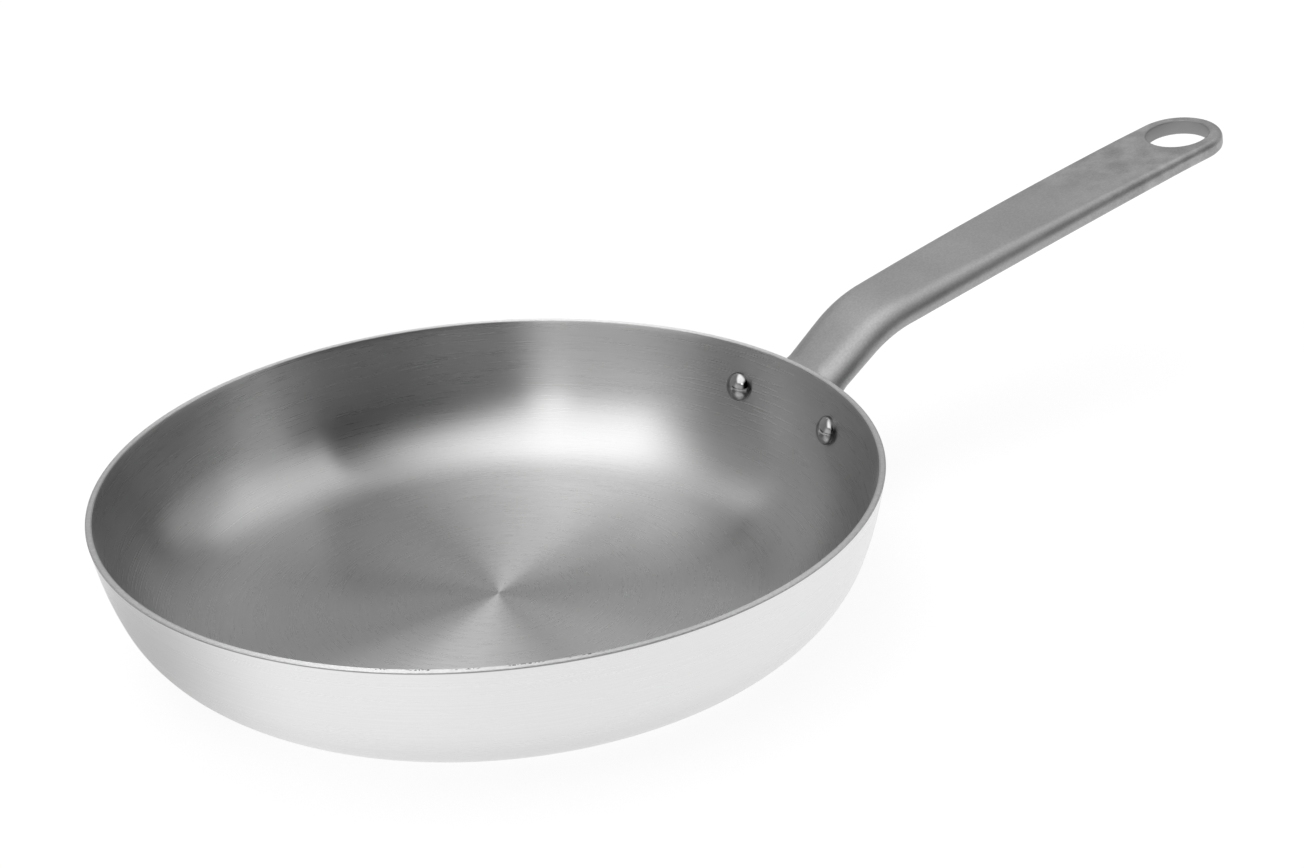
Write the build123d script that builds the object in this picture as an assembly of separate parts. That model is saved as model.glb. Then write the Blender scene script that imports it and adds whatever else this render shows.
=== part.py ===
from build123d import *
import math
import os

# Omelette pan: a clad body of three bonded metal layers and a cast handle held by two rivets.
# Millimetres, +Z up. The origin is the centre of the flat base and the handle points along +X.

# Outside of the pan body, from the rim down
rim_radius = 120.0
rim_straight = 7.0  # height of the straight wall below the rim
wall_lean = 10.2  # degrees off vertical
flare_radius = 94.0
heel_lean = 20.0  # degrees off vertical, where the flare meets the heel
heel_radius = 33.5

# Layers of the clad sheet, which end together at the cut rim
outer_skin = 0.5
core_sheet = 1.1
inner_skin = 0.4
rim_bevel = 0.25

# Rivets, one each side of the handle
rivet_height = 30.1  # on the outside of the wall
rivet_spacing = 47.6
shank_diameter = 5.0
head_diameter = 9.5
head_height = 3.4
head_rim = 1.1  # upright part of the head's height, rounded into the crown
tail_diameter = 7.6
tail_height = 1.1
tail_rim = 0.4
rivet_clearance = 0.05
seat_depth = 0.3  # how far a rivet's head and tail start inside what they are pressed onto

# Mounting pad of the handle, curved to the wall
pad_thickness = 3.6
pad_margin = 8.6  # from a rivet's centre to the pad's rounded end
pad_edge = 1.2

# Line of the handle's top, from the wall outwards
top_height = 40.5  # where the top line meets the wall
rise_length = 20.4
rise_angle = 35.0
bend_radius = 49.5
grip_angle = 10.4
grip_length = 126.0
grip_arch = 1.9  # degrees that the grip turns down over its length

# Root of the handle, which flares into the pad
root_width = 35.0
root_height = 19.0  # down from the top line
root_corner = 5.0
root_depth = 4.0  # how far inside the wall it starts, along the top line, before it is trimmed to it
flare_length = 6.5  # from the wall to the plain section, along the top line

# Section of the handle: crowned top, round shoulders, nearly square lower edges
grip_width = 28.2
grip_thickness = 7.6
grip_crown = 0.6  # rise of the top's middle over its edges, fading out at the eye
grip_shoulder = 5.6
lower_edge = 1.0
taper_start_share = 0.26  # of the handle's length, where it starts to thin
station_count = 20  # evenly spaced sections that the handle is lofted through

# Hanging eye, a flat round end of even thickness
eye_width = 32.2
eye_thickness = 5.4
eye_shoulder = 1.5
eye_neck = 14.0  # flat length before the centre of the round end
eye_hole_diameter = 22.0
eye_hole_offset = 0.5  # from the centre of the round end towards the tip
eye_hole_chamfer = 0.5

overrun = 20.0  # how far cutting bodies reach past what they cut

sheet = outer_skin + core_sheet + inner_skin
lean = math.radians(wall_lean)
heel_end = math.radians(heel_lean)

heel_height = heel_radius * (1 - math.sin(heel_end))
flare_height = flare_radius * (math.sin(heel_end) - math.sin(lean))
pan_height = heel_height + flare_height + rim_straight
heel_run = heel_radius * math.cos(heel_end)
flare_run = flare_radius * (math.cos(lean) - math.cos(heel_end))
base_radius = rim_radius - heel_run - flare_run - rim_straight * math.tan(lean)


def wall_at(height):
    """Outside radius and lean, in radians, of the wall at a height."""
    if height < heel_height:
        angle = math.asin(1 - height / heel_radius)
        return base_radius + heel_radius * math.cos(angle), angle
    if height < heel_height + flare_height:
        angle = math.asin(math.sin(heel_end) - (height - heel_height) / flare_radius)
        run = flare_radius * (math.cos(angle) - math.cos(heel_end))
        return base_radius + heel_run + run, angle
    return rim_radius - (pan_height - height) * math.tan(lean), lean


def wall_line(depth, top=pan_height):
    """Profile of the body from the axis to a height, at a depth inside the outer face."""
    base = Line((0, depth), (base_radius, depth))
    heel = JernArc(base @ 1, (1, 0), heel_radius - depth, 90 - heel_lean)
    flare = JernArc(heel @ 1, heel % 1, flare_radius - depth, heel_lean - wall_lean)
    start = flare @ 1
    end = (start.X + (top - start.Y) * math.tan(lean), top)
    return Curve() + [base, heel, flare, Line(start, end)]


def shell(depth, thickness, bevel_outside=0, bevel_inside=0):
    """One layer of the body as a solid of revolution."""
    outer = wall_line(depth)
    inner = wall_line(depth + thickness)
    rim = Line(outer @ 1, inner @ 1)
    axis_end = Line(outer @ 0, inner @ 0)
    face = make_face(outer.edges() + inner.edges() + [rim, axis_end])
    if bevel_outside:
        face = chamfer(face.vertices().sort_by_distance(outer @ 1)[0], bevel_outside)
    if bevel_inside:
        face = chamfer(face.vertices().sort_by_distance(inner @ 1)[0], bevel_inside)
    return revolve(Plane.XZ * face, Axis.Z)


def envelope(offset, top):
    """Everything inside the body's outer face moved out by an offset, up to a height."""
    line = wall_line(-offset, top)
    lid = Line(line @ 1, (0, top))
    axis_side = Line((0, top), line @ 0)
    return revolve(Plane.XZ * make_face(line.edges() + [lid, axis_side]), Axis.Z)


def rivet_plane(side):
    """Plane on the outside of the wall at a rivet, facing outwards."""
    radius, angle = wall_at(rivet_height)
    turn = side * math.asin(rivet_spacing / 2 / radius)
    outward = (math.cos(angle) * math.cos(turn), math.cos(angle) * math.sin(turn), -math.sin(angle))
    place = (radius * math.cos(turn), radius * math.sin(turn), rivet_height)
    return Plane(origin=place, z_dir=outward)


def rivet_bore():
    """Both rivet holes, long enough to pass the wall and the pad."""
    bore = Cylinder(shank_diameter / 2 + rivet_clearance, 2 * overrun)
    return Part() + [rivet_plane(side) * bore for side in (-1, 1)]


def top_line():
    """Centre line of the handle's top face, from the wall to the eye."""
    wall_radius, _ = wall_at(top_height)
    straight = PolarLine((wall_radius, top_height), rise_length, rise_angle)
    bend = JernArc(straight @ 1, straight % 1, bend_radius, grip_angle - rise_angle)
    arch_radius = grip_length / math.radians(grip_arch)
    grip = JernArc(bend @ 1, bend % 1, arch_radius, -grip_arch)
    return Plane.XZ * Wire([straight, bend, grip])


def handle_section(share):
    """Section of the handle at a share of its length, hung from its top line."""
    width = grip_width + (eye_width - grip_width) * (1 - (1 - share) ** 2)
    thinned = max(0, (share - taper_start_share) / (1 - taper_start_share))
    thickness = grip_thickness + (eye_thickness - grip_thickness) * thinned
    shoulder = grip_shoulder + (eye_shoulder - grip_shoulder) * share
    crown = grip_crown * (1 - share)
    sides = Polyline((width / 2, -crown), (width / 2, -thickness), (-width / 2, -thickness), (-width / 2, -crown))
    top = ThreePointArc(sides @ 1, (0, 0), sides @ 0) if crown else Line(sides @ 1, sides @ 0)
    section = make_face(sides.edges() + [top])
    section = fillet(section.vertices().group_by(Axis.Y)[-1], shoulder)
    return fillet(section.vertices().group_by(Axis.Y)[0], lower_edge)


def root_section():
    """Outline of the flared root, hung from the top line's straight run back into the wall."""
    wall_radius, _ = wall_at(top_height)
    _, angle = wall_at(top_height - root_height / 2)
    rise = math.radians(rise_angle)
    start = (wall_radius - root_depth * math.cos(rise), 0, top_height - root_depth * math.sin(rise))
    plane = Plane(origin=start, x_dir=(0, 1, 0), z_dir=(math.cos(angle), 0, -math.sin(angle)))
    outline = Rectangle(root_width, root_height, align=(Align.CENTER, Align.MAX))
    return plane * fillet(outline.vertices(), root_corner)


def make_eye(start):
    """Flat round end with its hanging hole, from the plane where the grip ends."""
    radius = eye_width / 2
    sides = Polyline((-radius, eye_neck), (-radius, 0), (radius, 0), (radius, eye_neck))
    tip = ThreePointArc(sides @ 1, (0, eye_neck + radius), sides @ 0)
    eye = extrude(make_face(sides.edges() + [tip]), eye_thickness)
    top_edges = ShapeList(eye.faces().sort_by(Axis.Z)[-1].edges()).sort_by(Axis.Y)[1:]
    eye = fillet(top_edges, eye_shoulder)
    bottom_edges = ShapeList(eye.faces().sort_by(Axis.Z)[0].edges()).sort_by(Axis.Y)[1:]
    eye = fillet(bottom_edges, lower_edge)
    hole = Pos(0, eye_neck + eye_hole_offset) * Cylinder(eye_hole_diameter / 2, 2 * overrun)
    eye -= hole
    rims = eye.edges().filter_by(GeomType.CIRCLE).filter_by(lambda e: e.radius == eye_hole_diameter / 2)
    eye = chamfer(rims, eye_hole_chamfer)
    lying = Plane(origin=start.origin, x_dir=-start.x_dir, z_dir=start.y_dir)
    return lying * Pos(0, 0, -eye_thickness) * eye


def make_pad():
    """Plate on the outside of the wall that both rivets go through."""
    length = rivet_spacing + 2 * pad_margin
    outline = Plane.YZ * Pos(0, rivet_height) * SlotOverall(length, 2 * pad_margin)
    plate = extrude(outline, rim_radius + overrun) & envelope(pad_thickness, pan_height)
    plate -= envelope(0, pan_height)
    inner_face, outer_face = plate.faces().sort_by(SortBy.AREA)[-2:].sort_by(Axis.X)
    return fillet(outer_face.edges(), pad_edge)


def make_handle():
    line = top_line()
    plain_share = flare_length / line.length
    steps = [i / (station_count - 1) for i in range(station_count)]
    shares = [plain_share + (1 - plain_share) * step for step in steps]
    planes = [Plane(origin=line @ share, x_dir=(0, 1, 0), z_dir=line % share) for share in shares]
    sections = [plane * handle_section(share) for plane, share in zip(planes, shares)]
    root = loft([root_section(), sections[0]]) + loft(sections) - envelope(0, pan_height)
    return root + make_eye(planes[-1]) + make_pad() - rivet_bore()


def dome(diameter, height, rim):
    """Rounded button on a short upright rim, which starts a seat depth below its own plane."""
    crown = TangentArc((0, height), (diameter / 2, rim), tangent=(1, 0))
    side = Line(crown @ 1, (diameter / 2, -seat_depth))
    base = Line(side @ 1, (0, -seat_depth))
    axis_side = Line(base @ 1, crown @ 0)
    face = make_face([crown, side, base, axis_side])
    face = fillet(face.vertices().sort_by_distance(crown @ 1)[0], rim)
    return revolve(Plane.XZ * face, Axis.Z)


def make_rivet(side):
    """Rivet with a domed head inside the pan and a low dome on the pad outside."""
    out = rivet_plane(side)
    inside = Plane(origin=out.origin - out.z_dir * sheet, z_dir=-out.z_dir)
    outside = Plane(origin=out.origin + out.z_dir * pad_thickness, z_dir=out.z_dir)
    head = inside * dome(head_diameter, head_height, head_rim) - shell(0, sheet)
    tail = outside * dome(tail_diameter, tail_height, tail_rim) - envelope(pad_thickness, pan_height)
    length = sheet + pad_thickness + head_height / 2 + tail_height / 2
    middle = (pad_thickness + tail_height / 2 - sheet - head_height / 2) / 2
    shank = out * Pos(0, 0, middle) * Cylinder(shank_diameter / 2, length)
    return head + shank + tail


bores = rivet_bore()
nodes = {
    "outer_steel_skin": shell(0, outer_skin, bevel_outside=rim_bevel) - bores,
    "aluminium_core": shell(outer_skin, core_sheet) - bores,
    "inner_steel_skin": shell(outer_skin + core_sheet, inner_skin, bevel_inside=rim_bevel) - bores,
    "handle": make_handle(),
    "rivet_left": make_rivet(1),
    "rivet_right": make_rivet(-1),
}

os.makedirs("parts", exist_ok=True)
for name, solid in nodes.items():
    export_step(solid, f"parts/{name}.step")
    print(f"{name}: {len(solid.solids())} solid, {solid.volume / 1000:.2f} cm3")
print(f"pan height {pan_height:.2f}, base radius {base_radius:.2f}")
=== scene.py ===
import math

import bmesh
import bpy
from mathutils import Matrix, Vector


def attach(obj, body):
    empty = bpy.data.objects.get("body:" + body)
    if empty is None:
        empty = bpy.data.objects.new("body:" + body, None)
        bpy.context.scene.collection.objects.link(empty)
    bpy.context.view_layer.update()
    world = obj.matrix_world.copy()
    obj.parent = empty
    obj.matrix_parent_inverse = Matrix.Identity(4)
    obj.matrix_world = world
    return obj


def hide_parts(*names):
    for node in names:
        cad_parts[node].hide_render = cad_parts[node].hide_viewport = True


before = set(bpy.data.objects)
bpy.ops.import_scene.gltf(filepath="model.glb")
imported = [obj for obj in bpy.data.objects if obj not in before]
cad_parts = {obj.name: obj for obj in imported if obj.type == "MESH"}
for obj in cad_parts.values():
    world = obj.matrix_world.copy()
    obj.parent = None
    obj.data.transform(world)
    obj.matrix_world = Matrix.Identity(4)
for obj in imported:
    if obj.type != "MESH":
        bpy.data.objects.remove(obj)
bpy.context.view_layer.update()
print("frame loaded")

# Everything is in metres and degrees. The origin is the middle of the flat base.
# The handle runs along +X.

body = {
    "rimRadius": 0.120,
    "rimStraight": 0.007,  # straight wall below the rim
    "wallLean": 10.2,  # off vertical
    "flareRadius": 0.094,
    "heelLean": 20.0,  # where the flare meets the heel
    "heelRadius": 0.0335,
    "outerSkin": 0.0005,
    "coreSheet": 0.0011,
    "innerSkin": 0.0004,
    "rimBevel": 0.00025,
    "turns": 240,  # faces round the pan
    "floorSteps": 20,
    "heelSteps": 30,
    "flareSteps": 8,
    "wallSteps": 4,
    "bevelSteps": 3,
    "sharpAngle": 40,  # faces that meet at more than this aren't smoothed over
}

rivets = {
    "height": 0.0301,  # on the outside of the wall
    "spacing": 0.0476,
    "shank": 0.0050,
    "head": 0.0095,
    "headHeight": 0.0034,
    "headRim": 0.0011,  # how round its edge is
    "tail": 0.0076,
    "tailHeight": 0.0011,
    "tailRim": 0.0004,
    "seat": 0.0003,
    "turns": 72,
    "crownSteps": 12,
    "rimSteps": 12,
    "sharpAngle": 50,
}

pad = {  # the plate at the handle's root, outside on the wall
    "thickness": 0.0036,
    "margin": 0.0086,  # from a rivet's middle to the rounded end
    "edge": 0.0012,
    "edgeSteps": 4,
    "cutEvery": 0.0015,  # it is cut into strips, so that it can follow the wall
    "turns": 24,
}

tolerance = 1e-6  # points nearer than this are one

lean = math.radians(body["wallLean"])
heelEnd = math.radians(body["heelLean"])
sheetThickness = body["outerSkin"] + body["coreSheet"] + body["innerSkin"]
heelHeight = body["heelRadius"] * (1 - math.sin(heelEnd))
flareHeight = body["flareRadius"] * (math.sin(heelEnd) - math.sin(lean))
panHeight = heelHeight + flareHeight + body["rimStraight"]
heelRun = body["heelRadius"] * math.cos(heelEnd)
flareRun = body["flareRadius"] * (math.cos(lean) - math.cos(heelEnd))
baseRadius = body["rimRadius"] - heelRun - flareRun - body["rimStraight"] * math.tan(lean)


class Pencil:  # draws a chain of edges in the XZ plane
    def __init__(self, bm, x, z):
        self.bm = bm
        self.tip = bm.verts.new((x, 0, z))

    def line(self, x, z, steps=1):
        start = self.tip.co.copy()
        for step in range(1, steps + 1):
            new = bmesh.ops.extrude_vert_indiv(self.bm, verts=[self.tip])["verts"][0]
            new.co = start.lerp(Vector((x, 0, z)), step / steps)
            self.tip = new

    def arc(self, x, z, degrees, steps):  # about a centre, from +Z towards +X when positive
        made = bmesh.ops.spin(self.bm, geom=[self.tip], cent=(x, 0, z), axis=(0, 1, 0),
                              angle=math.radians(degrees), steps=steps)
        self.tip = next(g for g in made["geom_last"] if isinstance(g, bmesh.types.BMVert))


def spinProfile(bm, turns):
    bmesh.ops.spin(bm, geom=bm.verts[:] + bm.edges[:], cent=(0, 0, 0), axis=(0, 0, 1),
                   angle=2 * math.pi, steps=turns, use_merge=True)
    bmesh.ops.remove_doubles(bm, verts=bm.verts, dist=tolerance / 10)
    bmesh.ops.recalc_face_normals(bm, faces=bm.faces)


def makePiece(name, bm, node, sharpAngle=body["sharpAngle"]):
    mesh = bpy.data.meshes.new(name)
    bm.to_mesh(mesh)
    bm.free()
    mesh.shade_smooth()
    mesh.set_sharp_from_angle(angle=math.radians(sharpAngle))
    piece = bpy.data.objects.new(name, mesh)
    bpy.context.scene.collection.objects.link(piece)
    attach(piece, "root")
    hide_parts(node)
    return piece


def wallRadius(height):  # outside of the wall
    if height < heelHeight:
        angle = math.asin(1 - height / body["heelRadius"])
        return baseRadius + body["heelRadius"] * math.cos(angle), angle
    if height < panHeight - body["rimStraight"]:
        angle = math.asin(math.sin(heelEnd) - (height - heelHeight) / body["flareRadius"])
        run = body["flareRadius"] * (math.cos(angle) - math.cos(heelEnd))
        return baseRadius + heelRun + run, angle
    return body["rimRadius"] - (panHeight - height) * math.tan(lean), lean


def makeLayer(name, node, depth, thickness, roundedSide=0):  # 1 rounds its outer corner, -1 its inner
    bm = bmesh.new()
    flareX = baseRadius + heelRun - body["flareRadius"] * math.cos(heelEnd)
    flareZ = heelHeight + body["flareRadius"] * math.sin(heelEnd)
    pencil = Pencil(bm, 0, depth)
    pencil.line(baseRadius, depth, body["floorSteps"])
    pencil.arc(baseRadius, body["heelRadius"], body["heelLean"] - 90, body["heelSteps"])
    pencil.arc(flareX, flareZ, body["wallLean"] - body["heelLean"], body["flareSteps"])
    start = pencil.tip.co.copy()
    pencil.line(start.x + (panHeight - start.z) * math.tan(lean), panHeight, body["wallSteps"])

    inside = depth + thickness  # the same line again, from the rim back to the axis
    wallX = flareX + (body["flareRadius"] - inside) * math.cos(lean)
    wallZ = flareZ - (body["flareRadius"] - inside) * math.sin(lean)
    pencil.line(wallX + (panHeight - wallZ) * math.tan(lean), panHeight)
    pencil.line(wallX, wallZ, body["wallSteps"])
    pencil.arc(flareX, flareZ, body["heelLean"] - body["wallLean"], body["flareSteps"])
    pencil.arc(baseRadius, body["heelRadius"], 90 - body["heelLean"], body["heelSteps"])
    pencil.line(0, inside, body["floorSteps"])
    spinProfile(bm, body["turns"])

    if roundedSide:
        rimEdges = [e for e in bm.edges if all(abs(v.co.z - panHeight) < tolerance for v in e.verts)]
        corners = [e for e in rimEdges if abs(e.verts[0].co.xy.length - e.verts[1].co.xy.length) < tolerance]
        radii = [e.verts[0].co.xy.length for e in corners]
        middle = (max(radii) + min(radii)) / 2
        chosen = [e for e in corners if (e.verts[0].co.xy.length - middle) * roundedSide > 0]
        bmesh.ops.bevel(bm, geom=chosen, offset=body["rimBevel"], offset_type="OFFSET",
                        segments=body["bevelSteps"], profile=0.5, affect="EDGES", material=-1)
    return makePiece(name, bm, node)


underCore = body["outerSkin"]
overCore = underCore + body["coreSheet"]
outerSkin = makeLayer("outerSkin", "outer_steel_skin", 0, body["outerSkin"], 1)
aluminiumCore = makeLayer("aluminiumCore", "aluminium_core", underCore, body["coreSheet"])
innerSkin = makeLayer("innerSkin", "inner_steel_skin", overCore, body["innerSkin"], -1)
print("pan body made")


def addButton(bm, kind, seat):  # a dome with a rounded rim, and half of the shank under it
    old = set(bm.verts)
    width, height, rim = (rivets[kind + part] for part in ("", "Height", "Rim"))
    radius = width / 2
    drop = height - rim
    bulge = (radius ** 2 + drop ** 2) / (2 * drop)
    turn = math.degrees(math.asin((radius - rim) / (bulge - rim)))
    rimMiddle = height - bulge + (bulge - rim) * math.cos(math.radians(turn))
    pencil = Pencil(bm, 0, height)
    pencil.arc(0, height - bulge, turn, rivets["crownSteps"])
    pencil.arc(radius - rim, rimMiddle, 90 - turn, rivets["rimSteps"])
    pencil.line(radius, -rivets["seat"])
    pencil.line(rivets["shank"] / 2, -rivets["seat"])
    pencil.line(rivets["shank"] / 2, -(sheetThickness + pad["thickness"]) / 2)
    bmesh.ops.transform(bm, matrix=seat, verts=[v for v in bm.verts if v not in old])


def rivetSeat(side):  # a rivet's middle on the outside of the wall, and its way out
    radius, angle = wallRadius(rivets["height"])
    turn = side * math.asin(rivets["spacing"] / 2 / radius)
    outward = Vector((math.cos(angle) * math.cos(turn), math.cos(angle) * math.sin(turn), -math.sin(angle)))
    return Vector((radius * math.cos(turn), radius * math.sin(turn), rivets["height"])), outward


def makeRivet(name, node, side):
    bm = bmesh.new()
    outside = Matrix.Translation((0, 0, -sheetThickness - pad["thickness"]))
    addButton(bm, "head", Matrix.Identity(4))
    addButton(bm, "tail", outside @ Matrix.Rotation(math.pi, 4, "X"))
    bmesh.ops.remove_doubles(bm, verts=bm.verts, dist=tolerance)
    spinProfile(bm, rivets["turns"])
    place, outward = rivetSeat(side)
    facing = (-outward).to_track_quat("Z", "Y").to_matrix().to_4x4()
    bm.transform(Matrix.Translation(place - outward * sheetThickness) @ facing)
    return makePiece(name, bm, node, rivets["sharpAngle"])


rivetLeft = makeRivet("rivetLeft", "rivet_left", 1)
rivetRight = makeRivet("rivetRight", "rivet_right", -1)
print("rivets made")


handle = {
    "topHeight": 0.0405,  # where the top line meets the wall
    "riseLength": 0.0204,
    "riseAngle": 35.0,
    "bendRadius": 0.0495,
    "gripAngle": 10.4,
    "gripLength": 0.126,
    "gripArch": 1.9,  # turn of the grip over its length
    "width": 0.0282,
    "thickness": 0.0076,
    "crown": 0.0011,  # rise of the top's middle over its edges, fading out at the eye
    "shoulder": 0.0064,
    "shoulderSpread": 1.45,  # its width over its depth, at the pan
    "lowerEdge": 0.0010,
    "taperStartShare": 0.26,
    "rootWidth": 0.0350,
    "rootHeight": 0.0190,
    "rootCorner": 0.0050,
    "flareLength": 0.0065,
    "flareEase": 1.6,
    "sunk": 0.0002,  # into the wall
    "searchReach": 0.06,  # the wall is looked for this far, by halving the way
    "halvings": 24,
    "flareSteps": 8,
    "stations": 72,
    "topSteps": 16,
    "shoulderSteps": 8,
    "edgeSteps": 3,
    "joinReach": 2e-5,  # joins the grip to the eye
    "sharpAngle": 60,
}

eye = {
    "width": 0.0322,
    "thickness": 0.0054,
    "shoulder": 0.0024,
    "neck": 0.0140,  # flat length before the middle of the round end
    "hole": 0.0220,
    "holeOffset": 0.0005,
    "holeChamfer": 0.0005,
    "chamferSteps": 2,
    "neckSteps": 3,
    "turns": 48,  # faces round the end, and twice that round the hole
}

riseSlope = math.radians(handle["riseAngle"])
bendTurn = math.radians(handle["riseAngle"] - handle["gripAngle"])
archTurn = math.radians(handle["gripArch"])
bendRun = handle["bendRadius"] * bendTurn
handleRun = handle["riseLength"] + bendRun + handle["gripLength"]


def topLine(distance):  # place and slope of the handle's top, from the wall outwards
    straight = min(distance, handle["riseLength"])
    x = wallRadius(handle["topHeight"])[0] + straight * math.cos(riseSlope)
    z = handle["topHeight"] + straight * math.sin(riseSlope)
    slope = riseSlope
    start = handle["riseLength"]
    for run, turn in ((bendRun, bendTurn), (handle["gripLength"], archTurn)):
        share = min(max((distance - start) / run, 0), 1)
        radius = run / turn
        x += radius * (math.sin(slope) - math.sin(slope - turn * share))
        z += radius * (math.cos(slope - turn * share) - math.cos(slope))
        slope -= turn * share
        start += run
    return Vector((x, 0, z)), slope


def stationMatrix(distance):  # width runs along Y, and the top line is the section's upper edge
    place, slope = topLine(distance)
    up = Vector((-math.sin(slope), 0, math.cos(slope)))
    along = Vector((math.cos(slope), 0, math.sin(slope)))
    return Matrix.Translation(place) @ Matrix((Vector((0, 1, 0)), up, along)).transposed().to_4x4()


def makeSection(distance, flared=0.0):  # an outline across the handle, filled for now
    share = distance / handleRun
    thinned = max(0, (share - handle["taperStartShare"]) / (1 - handle["taperStartShare"]))
    plain = (
        handle["width"] + (eye["width"] - handle["width"]) * (1 - (1 - share) ** 2),
        handle["thickness"] + (eye["thickness"] - handle["thickness"]) * thinned,
        handle["shoulder"] + (eye["shoulder"] - handle["shoulder"]) * share,
        handle["lowerEdge"],
        handle["crown"] * (1 - share) ** 2,
    )
    flare = (handle["rootWidth"], handle["rootHeight"] * math.cos(riseSlope),
             handle["rootCorner"], handle["rootCorner"], 0)
    width, thickness, shoulder, lowerEdge, crown = (p + (f - p) * flared for p, f in zip(plain, flare))
    bm = bmesh.new()
    made = bmesh.ops.create_grid(bm, x_segments=2, y_segments=1, size=0.5)["verts"]
    bmesh.ops.scale(bm, vec=(width, thickness, 1), verts=made)
    bmesh.ops.translate(bm, vec=(0, -thickness / 2, 0), verts=made)
    corners = [v for v in made if abs(v.co.x) > width / 4]
    upper = [v for v in corners if v.co.y > -thickness / 2]
    lower = [v for v in corners if v.co.y < -thickness / 2]
    for verts, radius, count in (
        (upper, shoulder, handle["shoulderSteps"]),
        (lower, lowerEdge, handle["edgeSteps"]),
    ):
        bmesh.ops.bevel(bm, geom=verts, offset=radius, offset_type="OFFSET", segments=count,
                        profile=0.5, affect="VERTICES", material=-1)
    divideTop(bm)
    half = width / 2
    flat = half - shoulder
    spread = 1 + (handle["shoulderSpread"] - 1) * (1 - share) ** 2 * (1 - flared)
    for vert in bm.verts:  # shoulders wider than they are deep, and the crown
        aside = abs(vert.co.x)
        if aside > flat:
            moved = half - (half - aside) * spread
        else:
            moved = aside * (half - shoulder * spread) / flat
        vert.co.x = math.copysign(moved, vert.co.x)
        vert.co.y -= crown * (moved / half) ** 2 * (1 + vert.co.y / thickness)
    bm.transform(stationMatrix(distance))
    return bm


def divideTop(bm):  # the same steps across the top of a section and of the eye
    level = [v for v in bm.verts if abs(v.co.y) < tolerance / 10 and abs(v.co.z) < tolerance / 10]
    top = {e for v in level for e in v.link_edges if all(end in level for end in e.verts)}
    bmesh.ops.subdivide_edges(bm, edges=list(top), cuts=handle["topSteps"] // 2 - 1)


def distanceToWall(point, direction):  # along a direction that points inwards, to just inside the outer skin
    near, far = 0.0, handle["searchReach"]
    for _ in range(handle["halvings"]):
        middle = (near + far) / 2
        tried = point + direction * middle
        if tried.xy.length > wallRadius(tried.z)[0] - handle["sunk"]:
            near = middle
        else:
            far = middle
    return near


def join(bm, part):  # adds one bmesh to another
    mesh = bpy.data.meshes.new("joined")
    part.to_mesh(mesh)
    part.free()
    bm.from_mesh(mesh)
    bpy.data.meshes.remove(mesh)


def makeGrip(bm):
    plainStart = handle["flareLength"]
    sections = []
    inwards = Vector((-math.cos(riseSlope), 0, -math.sin(riseSlope)))
    for step in range(handle["flareSteps"]):  # from the wall out to the plain section
        share = 1 - step / handle["flareSteps"]
        section = makeSection(plainStart, share ** handle["flareEase"])
        for vert in section.verts:
            vert.co += inwards * distanceToWall(vert.co, inwards) * share
        sections.append(section)
    for step in range(handle["stations"]):
        share = step / (handle["stations"] - 1)
        sections.append(makeSection(plainStart + (handleRun - plainStart) * share))
    count = len(sections[0].verts)
    for section in sections:
        join(bm, section)
    bm.verts.ensure_lookup_table()
    rings = [bm.verts[start:start + count] for start in range(0, len(bm.verts), count)]
    outlines = [[e for e in {e for v in ring for e in v.link_edges} if e.is_boundary] for ring in rings]
    caps = [{f for v in ring for f in v.link_faces} for ring in rings]
    for near, far in zip(outlines, outlines[1:]):
        bmesh.ops.bridge_loops(bm, edges=near + far)
    bmesh.ops.delete(bm, geom=[f for cap in caps[1:] for f in cap], context="FACES")


def makeEyeEnd(bm):
    part = bmesh.new()
    half = eye["width"] / 2
    middle = eye["neck"] + eye["holeOffset"]
    pencil = Pencil(part, 0, 0)
    first = pencil.tip
    pencil.line(-half, 0)
    pencil.line(-half, eye["neck"], eye["neckSteps"])
    pencil.arc(0, eye["neck"], 90, eye["turns"])
    pencil.line(0, middle + eye["hole"] / 2)
    pencil.arc(0, middle, -180, 2 * eye["turns"])
    part.edges.new((pencil.tip, first))
    bmesh.ops.contextual_create(part, geom=part.edges[:])
    bmesh.ops.mirror(part, geom=part.verts[:] + part.edges[:] + part.faces[:], axis="X", merge_dist=tolerance)
    made = bmesh.ops.extrude_face_region(part, geom=part.faces[:])["geom"]
    lowered = [g for g in made if isinstance(g, bmesh.types.BMVert)]
    bmesh.ops.translate(part, vec=(0, -eye["thickness"], 0), verts=lowered)
    bmesh.ops.recalc_face_normals(part, faces=part.faces)

    def edgesAt(height, inHole):
        chosen = []
        for edge in part.edges:
            ends = [v.co for v in edge.verts]
            level = all(abs(c.y - height) < tolerance for c in ends)
            atJoin = all(abs(c.z) < tolerance for c in ends)
            offHole = [abs(Vector((c.x, c.z - middle)).length - eye["hole"] / 2) for c in ends]
            onHole = max(offHole) < 10 * tolerance
            isCorner = edge.calc_face_angle(0) > 1
            if level and isCorner and not atJoin and onHole == inHole:
                chosen.append(edge)
        return chosen

    for height, inHole, size, steps in (
        (0, False, eye["shoulder"], handle["shoulderSteps"]),
        (-eye["thickness"], False, handle["lowerEdge"], handle["edgeSteps"]),
        (0, True, eye["holeChamfer"], eye["chamferSteps"]),
        (-eye["thickness"], True, eye["holeChamfer"], eye["chamferSteps"]),
    ):
        bmesh.ops.bevel(part, geom=edgesAt(height, inHole), offset=size, offset_type="OFFSET", segments=steps,
                        profile=0.5, affect="EDGES", material=-1)
    joinFaces = [f for f in part.faces if all(abs(v.co.z) < tolerance for v in f.verts)]
    bmesh.ops.delete(part, geom=joinFaces, context="FACES")
    divideTop(part)
    part.transform(stationMatrix(handleRun))
    join(bm, part)


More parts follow.
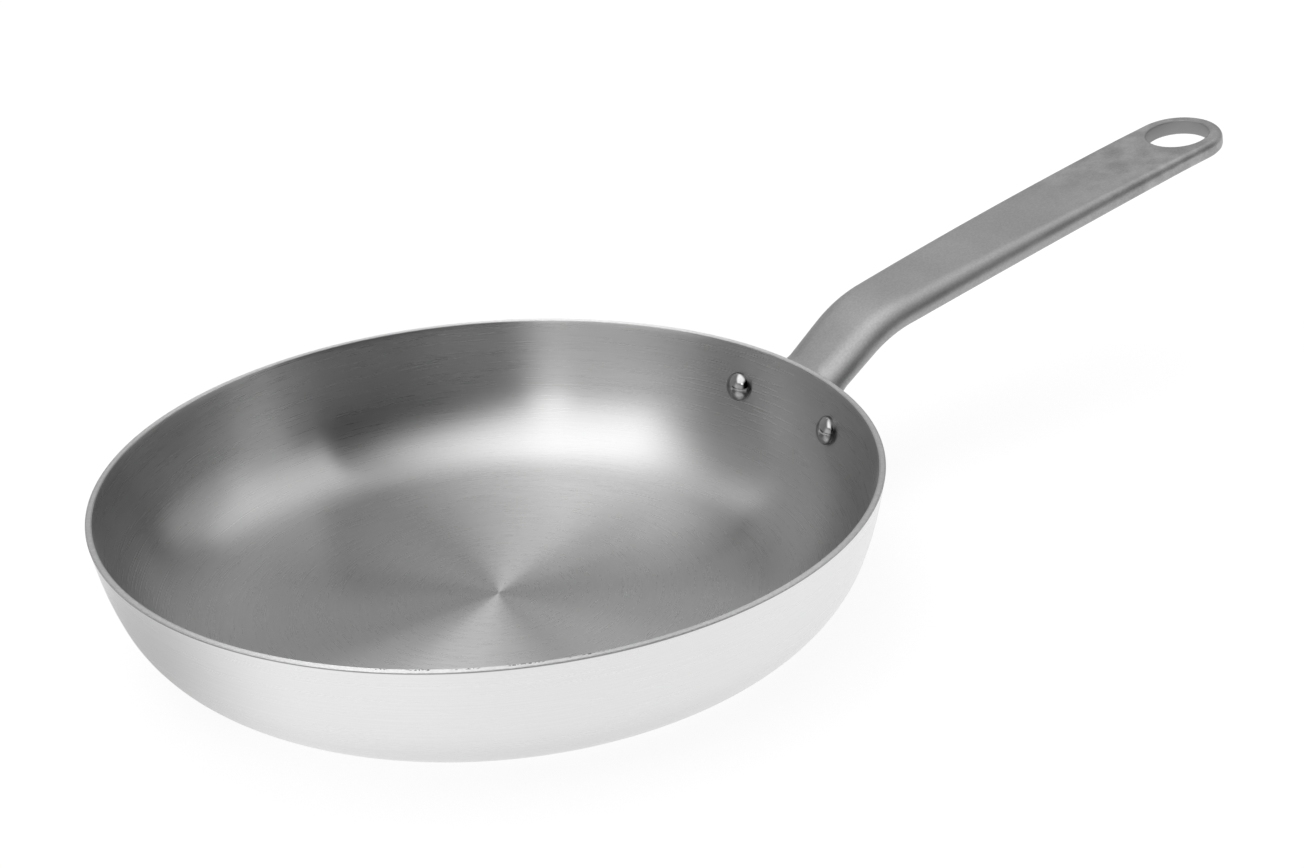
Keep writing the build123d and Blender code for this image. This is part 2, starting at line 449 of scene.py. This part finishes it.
def makePad(bm):
    part = bmesh.new()
    half = rivets["spacing"] / 2
    pencil = Pencil(part, -half, -pad["margin"])
    pencil.line(half, -pad["margin"])
    pencil.arc(half, 0, -180, pad["turns"])
    pencil.line(-half, pad["margin"])
    pencil.arc(-half, 0, -180, pad["turns"])
    bmesh.ops.remove_doubles(part, verts=part.verts, dist=tolerance)
    bmesh.ops.contextual_create(part, geom=part.edges[:])
    made = bmesh.ops.extrude_face_region(part, geom=part.faces[:])["geom"]
    outer = [g for g in made if isinstance(g, bmesh.types.BMVert)]
    bmesh.ops.translate(part, vec=(0, pad["thickness"], 0), verts=outer)
    rim = [e for e in part.edges if all(v.co.y > pad["thickness"] / 2 for v in e.verts)]
    bmesh.ops.bevel(part, geom=rim, offset=pad["edge"], offset_type="OFFSET", segments=pad["edgeSteps"],
                    profile=0.5, affect="EDGES", material=-1)
    reach = half + pad["margin"]
    for axis, size in ((Vector((1, 0, 0)), reach), (Vector((0, 0, 1)), pad["margin"])):
        count = int(2 * size / pad["cutEvery"])
        for cut in range(1, count):
            place = axis * (2 * size * cut / count - size)
            bmesh.ops.bisect_plane(part, geom=part.verts[:] + part.edges[:] + part.faces[:],
                                   dist=tolerance / 10, plane_co=place, plane_no=axis)
    for vert in part.verts:
        height = rivets["height"] + vert.co.z
        radius, angle = wallRadius(height)
        radius += max(vert.co.y, -handle["sunk"]) / math.cos(angle)
        vert.co = Vector((math.sqrt(radius ** 2 - vert.co.x ** 2), vert.co.x, height))
    bmesh.ops.recalc_face_normals(part, faces=part.faces)
    join(bm, part)


def makeHandle():
    bm = bmesh.new()
    makeGrip(bm)
    makeEyeEnd(bm)
    bmesh.ops.remove_doubles(bm, verts=bm.verts, dist=handle["joinReach"])
    bmesh.ops.recalc_face_normals(bm, faces=bm.faces)
    makePad(bm)
    piece = makePiece("castHandle", bm, "handle", handle["sharpAngle"])
    weighted = piece.modifiers.new("flat faces first", "WEIGHTED_NORMAL")
    weighted.keep_sharp = True
    return piece


castHandle = makeHandle()
print("handle made")


class Wire:  # a socket of a shader tree, so that sums on sockets read as sums
    def __init__(self, tree, socket=None):
        self.tree = tree
        self.socket = socket

    def node(self, kind, settings, inputs, output=0):
        made = self.tree.nodes.new("ShaderNode" + kind)
        for name, value in settings.items():
            setattr(made, name, value)
        for name, value in inputs.items():
            if isinstance(value, Wire):
                self.tree.links.new(value.socket, made.inputs[name])
            else:
                made.inputs[name].default_value = value
        return Wire(self.tree, made.outputs[output])

    def math(self, operation, *others):
        return self.node("Math", {"operation": operation}, dict(enumerate((self, *others))))

    def __add__(self, other):
        return self.math("ADD", other)

    def __sub__(self, other):
        return self.math("SUBTRACT", other)

    def __rsub__(self, other):
        return self.node("Math", {"operation": "SUBTRACT"}, {0: other, 1: self})

    def __mul__(self, other):
        return self.math("MULTIPLY", other)

    def __truediv__(self, other):
        return self.math("DIVIDE", other)

    __radd__ = __add__
    __rmul__ = __mul__


def ramp(value, low, high, start=0.0, end=1.0):  # smooth step between two levels
    limits = {"Value": value, "From Min": low, "From Max": high, "To Min": start, "To Max": end}
    return value.node("MapRange", {"interpolation_type": "SMOOTHSTEP"}, limits)


def mix(first, second, share):
    return first * (1 - share) + second * share


def hypotenuse(a, b):
    return (a * a + b * b).math("SQRT")


def parts(vector):
    return [vector.node("SeparateXYZ", {}, {"Vector": vector}, axis) for axis in "XYZ"]


def grey(value):
    return value.node("CombineColor", {}, {"Red": value, "Green": value, "Blue": value})


def noise(place, scale, detail, roughness=0.5):
    inputs = {"Vector": place, "Scale": scale, "Detail": detail, "Roughness": roughness}
    return place.node("TexNoise", {}, inputs)


noiseReach = {"low": 0.3, "high": 0.7}  # where nearly all of a noise lies


def vary(value, middle, change):  # from middle - change to middle + change, by a noise
    return ramp(value, noiseReach["low"], noiseReach["high"], middle - change, middle + change)


def finishOf(value, steel, kind):
    return vary(value, steel[kind], steel[kind + "Change"])


def newMaterial(name):
    material = bpy.data.materials.new(name)
    material.use_nodes = True
    tree = material.node_tree
    tree.nodes.clear()
    shader = tree.nodes.new("ShaderNodeBsdfPrincipled")
    output = tree.nodes.new("ShaderNodeOutputMaterial")
    tree.links.new(shader.outputs[0], output.inputs["Surface"])
    return material, shader, Wire(tree).node("TexCoord", {}, {}, "Object")


def setShader(shader, **values):
    for name, value in values.items():
        socket = shader.inputs[name.replace("_", " ")]
        if isinstance(value, Wire):
            value.tree.links.new(value.socket, socket)
        else:
            socket.default_value = value


brush = {
    "detail": 3.0,
    "roughness": 0.55,
    "middle": 0.0005,  # keeps the lines calm at the axis
    "turn": 0.25,  # turns the streaks of light across the lines
}


def brushLines(place, lines, arcs):  # noise that is drawn out round the pan's axis
    x, y, z = parts(place)
    radius = hypotenuse(x, y)
    reach = radius + brush["middle"]
    inputs = {"X": (radius + z) * lines, "Y": x / reach * arcs, "Z": y / reach * arcs}
    return noise(place.node("CombineXYZ", {}, inputs), 1.0, brush["detail"], brush["roughness"])


rimEdge = {
    "depth": 0.00008,  # of the turned finish on the level top
    "fade": 0.00004,
    "grey": 0.90,
    "greyChange": 0.04,
    "grainScale": 1200.0,
    "grainDetail": 3.0,
    "roughness": 0.60,
    "anisotropy": 0.8,
    "lineDepth": 0.00045,  # of the dark line under the outer corner
    "lineFade": 0.00009,
    "lineGrey": 0.34,
}

rimNicks = {
    "bearing": 238.0,  # where they are, about the pan's axis
    "width": 17.0,
    "widthFade": 0.015,  # of the bearing's cosine
    "edge": 0.1188,  # they lie inside this radius
    "edgeFade": 0.0002,
    "scale": 1300.0,
    "detail": 1.0,
    "start": 0.50,  # the noise's level where a nick starts, and where it is full
    "full": 0.56,
    "groupScale": 170.0,
    "groupDetail": 2.0,
    "groupStart": 0.46,
    "groupFull": 0.56,
    "grey": 0.22,
}


def nickMask(place):
    x, y, _ = parts(place)
    radius = hypotenuse(x, y)
    bearing = math.radians(rimNicks["bearing"])
    facing = (x * math.cos(bearing) + y * math.sin(bearing)) / radius
    near = math.cos(math.radians(rimNicks["width"]))
    mask = ramp(noise(place, rimNicks["scale"], rimNicks["detail"]), rimNicks["start"], rimNicks["full"])
    groups = noise(place, rimNicks["groupScale"], rimNicks["groupDetail"])
    mask = mask * ramp(groups, rimNicks["groupStart"], rimNicks["groupFull"])
    mask = mask * ramp(facing, near, near + rimNicks["widthFade"])
    return mask * ramp(radius, rimNicks["edge"] - rimNicks["edgeFade"], rimNicks["edge"], 1, 0)


def turnedRim(place, shade, rough, lined=False):  # the finish of the cut edge, over a sheet's own finish
    height = parts(place)[2]
    start = panHeight - rimEdge["depth"]
    top = ramp(height, start - rimEdge["fade"], start)
    bright = finishOf(noise(place, rimEdge["grainScale"], rimEdge["grainDetail"]), rimEdge, "grey")
    bright = mix(bright, rimNicks["grey"], nickMask(place))
    shade = mix(shade, bright, top)
    rough = mix(rough, rimEdge["roughness"], top)
    if lined:
        start = panHeight - rimEdge["lineDepth"]
        line = ramp(height, start - rimEdge["lineFade"], start) * (1 - top)
        shade = mix(shade, rimEdge["lineGrey"], line)
    return shade, rough


innerSteel = {
    "grey": 0.62,
    "greyChange": 0.015,
    "roughness": 0.28,
    "roughnessChange": 0.008,
    "anisotropy": 1.0,
    "lines": 1700.0,  # a metre, across the brushing
    "arcs": 4.0,  # the more, the shorter the lines
}


def makeInnerSteel():
    material, shader, place = newMaterial("brushed steel inside")
    lines = brushLines(place, innerSteel["lines"], innerSteel["arcs"])
    shade, rough = (finishOf(lines, innerSteel, kind) for kind in ("grey", "roughness"))
    shade, rough = turnedRim(place, shade, rough)
    setShader(shader, Base_Color=grey(shade), Roughness=rough, Metallic=1.0,
              Anisotropic=innerSteel["anisotropy"], Anisotropic_Rotation=brush["turn"])
    return material


outerSteel = {
    "grey": 0.83,
    "greyChange": 0.02,
    "paintedShade": 0.10,  # painted shade, for the shaded floor that the low wall mirrors: how much darker it is at the table than at the height below
    "paintedShadeHeight": 0.024,
    "roughness": 0.30,
    "roughnessChange": 0.03,
    "anisotropy": 0.9,
    "lines": 2000.0,
    "arcs": 2.0,
}


def makeOuterSteel():
    material, shader, place = newMaterial("satin steel outside")
    lines = brushLines(place, outerSteel["lines"], outerSteel["arcs"])
    shade, rough = (finishOf(lines, outerSteel, kind) for kind in ("grey", "roughness"))
    # painted shade: the wall is painted darker towards the table, for the shaded floor that it mirrors there
    shade = shade - ramp(parts(place)[2], 0, outerSteel["paintedShadeHeight"], outerSteel["paintedShade"], 0)
    shade, rough = turnedRim(place, shade, rough, lined=True)
    setShader(shader, Base_Color=grey(shade), Roughness=rough, Metallic=1.0,
              Anisotropic=outerSteel["anisotropy"], Anisotropic_Rotation=brush["turn"])
    return material


def makeCutAluminium():
    material, shader, place = newMaterial("cut aluminium edge")
    shade, rough = turnedRim(place, rimEdge["grey"], rimEdge["roughness"])
    setShader(shader, Base_Color=grey(shade), Roughness=rough, Metallic=1.0,
              Anisotropic=rimEdge["anisotropy"], Anisotropic_Rotation=brush["turn"])
    return material


castSteel = {
    "grey": 0.46,
    "greyChange": 0.02,
    "roughness": 0.54,
    "roughnessChange": 0.03,
    "cloudScale": 60.0,
    "cloudDetail": 4.0,
    "grainChange": 0.03,
    "grainScale": 1400.0,
    "grainDetail": 3.0,
    "stainChange": 0.06,  # cloudy marks, which begin at stainStart along the handle
    "stainScale": 150.0,
    "stainDetail": 3.0,
    "stainStart": 0.215,
    "stainFull": 0.275,
    "holeShadeGrey": 0.38,
    "holeRoughness": 0.62,
    "holeReach": 0.0007,  # how far round the hole its painted shade and rougher finish go
    "holeFade": 0.0002,
}


def makeCastSteel():
    material, shader, place = newMaterial("satin cast steel")
    steel = castSteel
    x, y, z = parts(place)
    clouds = noise(place, steel["cloudScale"], steel["cloudDetail"])
    shade, rough = (finishOf(clouds, steel, kind) for kind in ("grey", "roughness"))
    shade = shade + vary(noise(place, steel["grainScale"], steel["grainDetail"]), 0, steel["grainChange"])
    stains = vary(noise(place, steel["stainScale"], steel["stainDetail"]), 0, steel["stainChange"])
    shade = shade + stains * ramp(x, steel["stainStart"], steel["stainFull"])

    end, slope = topLine(handleRun)
    middle = eye["neck"] + eye["holeOffset"]
    along = (x - end.x) * math.cos(slope) + (z - end.z) * math.sin(slope) - middle
    edge = eye["hole"] / 2 + steel["holeReach"]
    inHole = ramp(hypotenuse(along, y), edge - steel["holeFade"], edge, 1, 0)
    # painted shade on the hole's wall, which also has a rougher finish
    shade = mix(shade, steel["holeShadeGrey"], inHole)
    rough = mix(rough, steel["holeRoughness"], inHole)
    setShader(shader, Base_Color=grey(shade), Roughness=rough, Metallic=1.0)
    return material


polishedSteel = {
    "grey": 0.49,
    "greyChange": 0.03,
    "roughness": 0.07,
    "roughnessChange": 0.02,
    "grainScale": 700.0,
    "grainDetail": 2.0,
    "shadedEdgeGrey": 0.16,  # of the painted shade on each head's rounded edge
    "shadedEdgeWidth": 0.0006,
}


def makeRivetSteel():
    material, shader, place = newMaterial("polished rivet steel")
    steel = polishedSteel
    grain = noise(place, steel["grainScale"], steel["grainDetail"])
    shade, rough = (finishOf(grain, steel, kind) for kind in ("grey", "roughness"))

    middle, outward = rivetSeat(1)
    offset = place.node("VectorMath", {"operation": "ABSOLUTE"}, {0: place})  # both rivets as one
    offset = offset.node("VectorMath", {"operation": "SUBTRACT"}, {0: offset, 1: middle})
    length = offset.node("VectorMath", {"operation": "LENGTH"}, {0: offset}, 1)
    along = offset.node("VectorMath", {"operation": "DOT_PRODUCT"}, {0: offset, 1: outward}, 1)
    fromAxis = (length * length - along * along).math("SQRT")
    radius = rivets["head"] / 2
    # a ring of painted shade and dark reflection on each head's rounded edge
    shade = mix(shade, steel["shadedEdgeGrey"], ramp(fromAxis, radius - steel["shadedEdgeWidth"], radius))
    setShader(shader, Base_Color=grey(shade), Roughness=rough, Metallic=1.0)
    return material


innerSkin.data.materials.append(makeInnerSteel())
outerSkin.data.materials.append(makeOuterSteel())
aluminiumCore.data.materials.append(makeCutAluminium())
rivetSteel = makeRivetSteel()
for piece in (rivetLeft, rivetRight):
    piece.data.materials.append(rivetSteel)
castHandle.data.materials.append(makeCastSteel())
print("materials made")

photoView = {
    "azimuth": -33.96,
    "elevation": 24.921,
    "roll": -3.316,
    "across": 0.04739,  # how far the camera's axis passes to the right of the origin, and above it
    "up": 0.05103,
    "distance": 0.7471,
    "lens": 66.48,
}


def makeCamera():
    azimuth, elevation, roll = (math.radians(photoView[k]) for k in ("azimuth", "elevation", "roll"))
    back = Vector((math.sin(azimuth), -math.cos(azimuth), 0)) * math.cos(elevation)
    back.z = math.sin(elevation)
    level = Vector((math.cos(azimuth), math.sin(azimuth), 0))
    rise = back.cross(level)
    right = level * math.cos(roll) + rise * math.sin(roll)
    up = back.cross(right)
    camera = bpy.data.objects.new("camera", bpy.data.cameras.new("camera"))
    camera.data.lens = photoView["lens"]
    place = right * photoView["across"] + up * photoView["up"] + back * photoView["distance"]
    camera.matrix_world = Matrix.Translation(place) @ Matrix((right, up, back)).transposed().to_4x4()
    bpy.context.scene.collection.objects.link(camera)
    bpy.context.scene.camera = camera


studio = {
    "floorSize": 60.0,
    "floorTurns": 96,
    "floorDrop": 0.0002,  # under the base, so that the two don't share a plane
    "floorGrey": 0.8,
    "floorShade": 0.22,  # what the camera and the metal see of the floor's own shading
    "floorWhite": 0.86,  # the even white that they see with it
    "floorRoughness": 0.8,
    "leftWall": 0.30,  # weak light from the camera's left, and from behind the pan
    "backWall": 0.40,
    "lowestSlope": 0.02,  # of a direction towards the ceiling
}

# A painted shadow on the floor, at the pan's left, which only shows mirrored in the pan's wall.
floorShadow = {"right": -0.135, "away": -0.035, "near": 0.015, "far": 0.105, "shade": 0.52}

# Soft panels on a ceiling one unit above the pan. Right and away are as the photograph's camera sees them.
keyPanel = {"right": -0.421, "away": -0.422, "width": 1.049, "depth": 1.637,
            "turn": -33.4, "edge": 0.48, "level": 1.533}
sidePanel = {"right": 0.898, "away": 0.340, "width": 1.171, "depth": 0.976,
             "turn": -44.7, "edge": 0.05, "level": 0.903}
spotPanel = {"right": -0.508, "away": -1.437, "width": 0.408, "depth": 0.432,
             "turn": 34.7, "edge": 0.05, "level": 1.977}
backPanel = {"right": -0.276, "away": 0.663, "width": 0.521, "depth": 0.988,
             "turn": 39.1, "edge": 0.05, "level": 0.576}

# Reflectors that stand round the table, seen from the pan and in degrees. The bearing is from the
# camera's side towards its right.
leftReflector = {"bearing": -41.1, "half": 27.7, "edge": 21.4, "foot": -18.0, "top": 28.2, "level": 0.519}
rightReflector = {"bearing": 102.5, "half": 31.6, "edge": 10.8, "foot": 4.3, "top": 31.0, "level": 0.45}
backReflector = {"bearing": -169.6, "half": 8.1, "edge": 1.3, "foot": 13.4, "top": 21.1, "level": 1.044}


def asSeen(vector):  # to the camera's right, away from it, and up
    view = math.radians(photoView["azimuth"])
    x, y, z = parts(vector)
    return x * math.cos(view) + y * math.sin(view), y * math.cos(view) - x * math.sin(view), z


def ray(wire, kind):
    return wire.node("LightPath", {}, {}, f"Is {kind} Ray")


def makeFloor():
    bm = bmesh.new()
    bmesh.ops.create_circle(bm, cap_ends=True, segments=studio["floorTurns"], radius=studio["floorSize"])
    bmesh.ops.translate(bm, vec=(0, 0, -studio["floorDrop"]), verts=bm.verts)
    mesh = bpy.data.meshes.new("floor")
    bm.to_mesh(mesh)
    bm.free()
    floor = bpy.data.objects.new("floor", mesh)
    bpy.context.scene.collection.objects.link(floor)
    material, shader, place = newMaterial("pale floor")
    mirrored = ray(place, "Glossy")
    seen = (ray(place, "Camera") + mirrored + ray(place, "Transmission")).math("MINIMUM", 1.0)
    shown = ramp(seen, 0, 1, studio["floorGrey"], studio["floorShade"])
    right, away, _ = asSeen(place)
    distance = hypotenuse(right - floorShadow["right"], away - floorShadow["away"])
    # painted shadow on the floor, which only mirror rays see
    mirroredShadow = mirrored * ramp(distance, floorShadow["near"], floorShadow["far"], floorShadow["shade"], 0)
    white = seen * studio["floorWhite"] * (1 - mirroredShadow)
    setShader(shader, Base_Color=grey(shown), Roughness=studio["floorRoughness"], Specular_IOR_Level=0.0,
              Emission_Color=grey(white), Emission_Strength=1.0)
    below = place.node("NewGeometry", {}, {}, "Backfacing")
    clear = place.node("BsdfTransparent", {}, {})
    mixed = below.node("MixShader", {}, {0: below, 1: Wire(below.tree, shader.outputs[0]), 2: clear})
    output = next(n for n in material.node_tree.nodes if n.type == "OUTPUT_MATERIAL")
    mixed.tree.links.new(mixed.socket, output.inputs["Surface"])
    floor.data.materials.append(material)


def panelLight(right, away, panel):
    turn = math.radians(panel["turn"])
    across = (right - panel["right"]) * math.cos(turn) + (away - panel["away"]) * math.sin(turn)
    along = (away - panel["away"]) * math.cos(turn) - (right - panel["right"]) * math.sin(turn)
    half = panel["edge"] / 2
    across = ramp(across.math("ABSOLUTE"), panel["width"] / 2 - half, panel["width"] / 2 + half, 1, 0)
    along = ramp(along.math("ABSOLUTE"), panel["depth"] / 2 - half, panel["depth"] / 2 + half, 1, 0)
    return across * along * panel["level"]


def reflectorLight(bearing, elevation, reflector):
    aside = (bearing - reflector["bearing"]).math("WRAP", 180.0, -180.0).math("ABSOLUTE")
    half = reflector["edge"] / 2
    aside = ramp(aside, reflector["half"] - half, reflector["half"] + half, 1, 0)
    over = ramp(elevation, reflector["foot"] - half, reflector["foot"] + half)
    under = ramp(elevation, reflector["top"] - half, reflector["top"] + half, 1, 0)
    return aside * over * under * reflector["level"]


def makeWorld():
    world = bpy.data.worlds.new("studio")
    bpy.context.scene.world = world
    world.use_nodes = True
    tree = world.node_tree
    tree.nodes.clear()
    right, away, z = asSeen(Wire(tree).node("TexCoord", {}, {}, "Generated"))
    level = hypotenuse(right, away)
    height = z.math("MAXIMUM", studio["lowestSlope"])
    toLeft = (right * -1 / level).math("MAXIMUM", 0.0)
    toBack = (away / level).math("MAXIMUM", 0.0)
    strength = toLeft * toLeft * studio["leftWall"] + toBack * toBack * studio["backWall"]
    for panel in (keyPanel, sidePanel, spotPanel, backPanel):
        strength = strength + panelLight(right / height, away / height, panel)
    bearing = right.math("ARCTAN2", away * -1) * math.degrees(1)
    elevation = z.math("ARCSINE") * math.degrees(1)
    for reflector in (leftReflector, rightReflector, backReflector):
        strength = strength + reflectorLight(bearing, elevation, reflector)
    strength = mix(strength, 1.0, ray(strength, "Camera"))  # the camera sees plain white past the floor
    background = strength.node("Background", {}, {"Color": (1, 1, 1, 1), "Strength": strength})
    tree.links.new(background.socket, tree.nodes.new("ShaderNodeOutputWorld").inputs["Surface"])


makeFloor()
makeWorld()
makeCamera()
bpy.context.scene.view_settings.view_transform = "Standard"
print("studio made")
